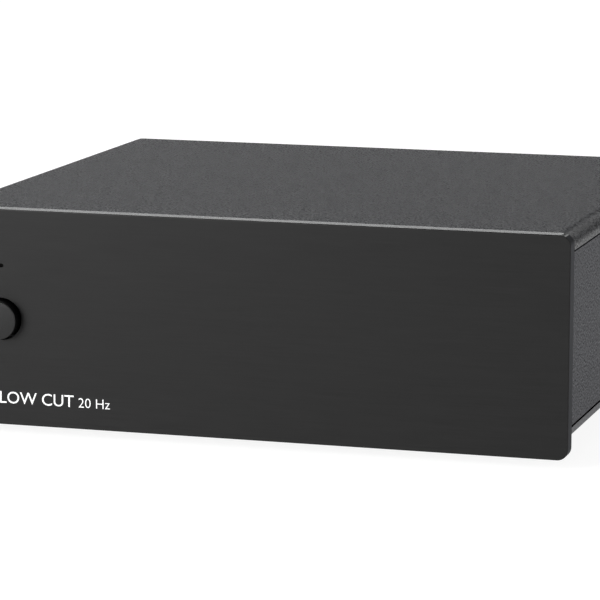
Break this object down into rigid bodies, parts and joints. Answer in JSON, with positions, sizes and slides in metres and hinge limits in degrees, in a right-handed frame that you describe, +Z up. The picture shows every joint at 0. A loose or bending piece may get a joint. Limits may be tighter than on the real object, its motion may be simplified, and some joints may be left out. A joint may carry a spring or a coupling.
{
  "type": "phono preamp",
  "caption": "Small desktop phono preamp: flat metal casing with a thick front plate, push button and light, phono sockets, ground post and power jack at the back.",
  "frame": {"origin": "on the surface the feet stand on, midway between the sides and between the button's face and the socket mouths", "axes": "+X to the right seen from the front, +Y from the front plate to the back, +Z up"},
  "size_m": [0.103, 0.1022, 0.0363],
  "materials": {
    "anodised_front": "black anodised, brushed",
    "button_black": "black anodised, turned",
    "coated_cover": "fine textured black coating",
    "coated_sides": "coarse blasted and black anodised",
    "coated_base": "fine textured black coating",
    "coated_rear": "fine textured black coating",
    "zinc_sheet": "zinc plated",
    "steel_pillars": "nickel plated",
    "black_screws": "black oxide",
    "foot_rubber": "matt",
    "switch_plastic": "moulded",
    "switch_housing": "moulded",
    "spring_steel": "drawn wire",
    "clear_acrylic": "moulded, clear",
    "diode_epoxy": "clear epoxy",
    "bank_plastic": "moulded",
    "lever_white": "moulded",
    "gold_plate": "gold plated",
    "insulator_white": "moulded",
    "insulator_red": "moulded",
    "nickel_plate": "nickel plated brass",
    "jack_plastic": "moulded",
    "board_laminate": "solder mask",
    "capacitor_sleeve": "shrunk sleeve",
    "film_box": "cast box",
    "chip_moulding": "moulded"
  },
  "bodies": {
    "casing": {"front_plate": "anodised_front", "top_cover": "coated_cover", "left_side_wall": "coated_sides", "right_side_wall": "coated_sides", "bottom_plate": "coated_base", "rear_panel": "coated_rear", "sub_front_panel": "zinc_sheet", "cover_pillars": "steel_pillars", "bottom_screws": "black_screws", "rear_screws": "black_screws", "front_screws": "black_screws", "plate_screws": "black_screws", "front_left_foot": "foot_rubber", "front_right_foot": "foot_rubber", "rear_left_foot": "foot_rubber", "rear_right_foot": "foot_rubber", "switch_body": "switch_housing", "switch_spring": "spring_steel", "light_pipe": "clear_acrylic", "status_diode": "diode_epoxy", "left_switch_bank": "bank_plastic", "right_switch_bank": "bank_plastic", "input_left_shell": "gold_plate", "input_right_shell": "gold_plate", "output_left_shell": "gold_plate", "output_right_shell": "gold_plate", "socket_contacts": "gold_plate", "socket_nuts": "gold_plate", "input_left_insulator": "insulator_white", "output_left_insulator": "insulator_white", "input_right_insulator": "insulator_red", "output_right_insulator": "insulator_red", "ground_post": "nickel_plate", "power_jack_pin": "nickel_plate", "power_jack_body": "jack_plastic", "circuit_board": "board_laminate", "electrolytic_capacitors": "capacitor_sleeve", "film_capacitors": "film_box", "amplifier_chips": "chip_moulding"},
    "button": {"filter_button": "button_black", "switch_plunger": "switch_plastic"},
    "ground_washer": {"ground_washer": "nickel_plate"},
    "ground_nut": {"ground_nut": "nickel_plate"},
    "left_lever_1": {"left_lever_1": "lever_white"},
    "left_lever_2": {"left_lever_2": "lever_white"},
    "left_lever_3": {"left_lever_3": "lever_white"},
    "left_lever_4": {"left_lever_4": "lever_white"},
    "left_lever_5": {"left_lever_5": "lever_white"},
    "left_lever_6": {"left_lever_6": "lever_white"},
    "left_lever_7": {"left_lever_7": "lever_white"},
    "left_lever_8": {"left_lever_8": "lever_white"},
    "right_lever_1": {"right_lever_1": "lever_white"},
    "right_lever_2": {"right_lever_2": "lever_white"},
    "right_lever_3": {"right_lever_3": "lever_white"},
    "right_lever_4": {"right_lever_4": "lever_white"},
    "right_lever_5": {"right_lever_5": "lever_white"},
    "right_lever_6": {"right_lever_6": "lever_white"},
    "right_lever_7": {"right_lever_7": "lever_white"},
    "right_lever_8": {"right_lever_8": "lever_white"}
  },
  "joints": [
    {"name": "button_press", "type": "slide", "parent": "casing", "child": "button", "axis": [0, 1, 0], "range_m": [0, 0.0015], "stiffness_N_per_m": 400, "springref_m": -0.0015, "deforming": ["switch_spring"]},
    {"name": "ground_washer_slide", "type": "slide", "parent": "casing", "child": "ground_washer", "axis": [0, 1, 0], "range_m": [0, 0.0028]},
    {"name": "ground_nut_turn", "type": "hinge", "parent": "ground_washer", "child": "ground_nut", "pos_m": [0.00825, 0.0427, 0.0187], "axis": [0, 1, 0], "range_deg": [0, 1440]},
    {"name": "left_lever_1_slide", "type": "slide", "parent": "casing", "child": "left_lever_1", "axis": [0, 1, 0], "range_m": [0, 0.0019]},
    {"name": "left_lever_2_slide", "type": "slide", "parent": "casing", "child": "left_lever_2", "axis": [0, 1, 0], "range_m": [0, 0.0019]},
    {"name": "left_lever_3_slide", "type": "slide", "parent": "casing", "child": "left_lever_3", "axis": [0, 1, 0], "range_m": [0, 0.0019]},
    {"name": "left_lever_4_slide", "type": "slide", "parent": "casing", "child": "left_lever_4", "axis": [0, 1, 0], "range_m": [0, 0.0019]},
    {"name": "left_lever_5_slide", "type": "slide", "parent": "casing", "child": "left_lever_5", "axis": [0, 1, 0], "range_m": [0, 0.0019]},
    {"name": "left_lever_6_slide", "type": "slide", "parent": "casing", "child": "left_lever_6", "axis": [0, 1, 0], "range_m": [0, 0.0019]},
    {"name": "left_lever_7_slide", "type": "slide", "parent": "casing", "child": "left_lever_7", "axis": [0, 1, 0], "range_m": [0, 0.0019]},
    {"name": "left_lever_8_slide", "type": "slide", "parent": "casing", "child": "left_lever_8", "axis": [0, 1, 0], "range_m": [0, 0.0019]},
    {"name": "right_lever_1_slide", "type": "slide", "parent": "casing", "child": "right_lever_1", "axis": [0, 1, 0], "range_m": [0, 0.0019]},
    {"name": "right_lever_2_slide", "type": "slide", "parent": "casing", "child": "right_lever_2", "axis": [0, 1, 0], "range_m": [0, 0.0019]},
    {"name": "right_lever_3_slide", "type": "slide", "parent": "casing", "child": "right_lever_3", "axis": [0, 1, 0], "range_m": [0, 0.0019]},
    {"name": "right_lever_4_slide", "type": "slide", "parent": "casing", "child": "right_lever_4", "axis": [0, 1, 0], "range_m": [0, 0.0019]},
    {"name": "right_lever_5_slide", "type": "slide", "parent": "casing", "child": "right_lever_5", "axis": [0, 1, 0], "range_m": [0, 0.0019]},
    {"name": "right_lever_6_slide", "type": "slide", "parent": "casing", "child": "right_lever_6", "axis": [0, 1, 0], "range_m": [0, 0.0019]},
    {"name": "right_lever_7_slide", "type": "slide", "parent": "casing", "child": "right_lever_7", "axis": [0, 1, 0], "range_m": [0, 0.0019]},
    {"name": "right_lever_8_slide", "type": "slide", "parent": "casing", "child": "right_lever_8", "axis": [0, 1, 0], "range_m": [0, 0.0019]}
  ],
  "couplings": [
    {"joint": "ground_nut_turn", "follows": "ground_washer_slide", "rad_per_m": 8976}
  ]
}
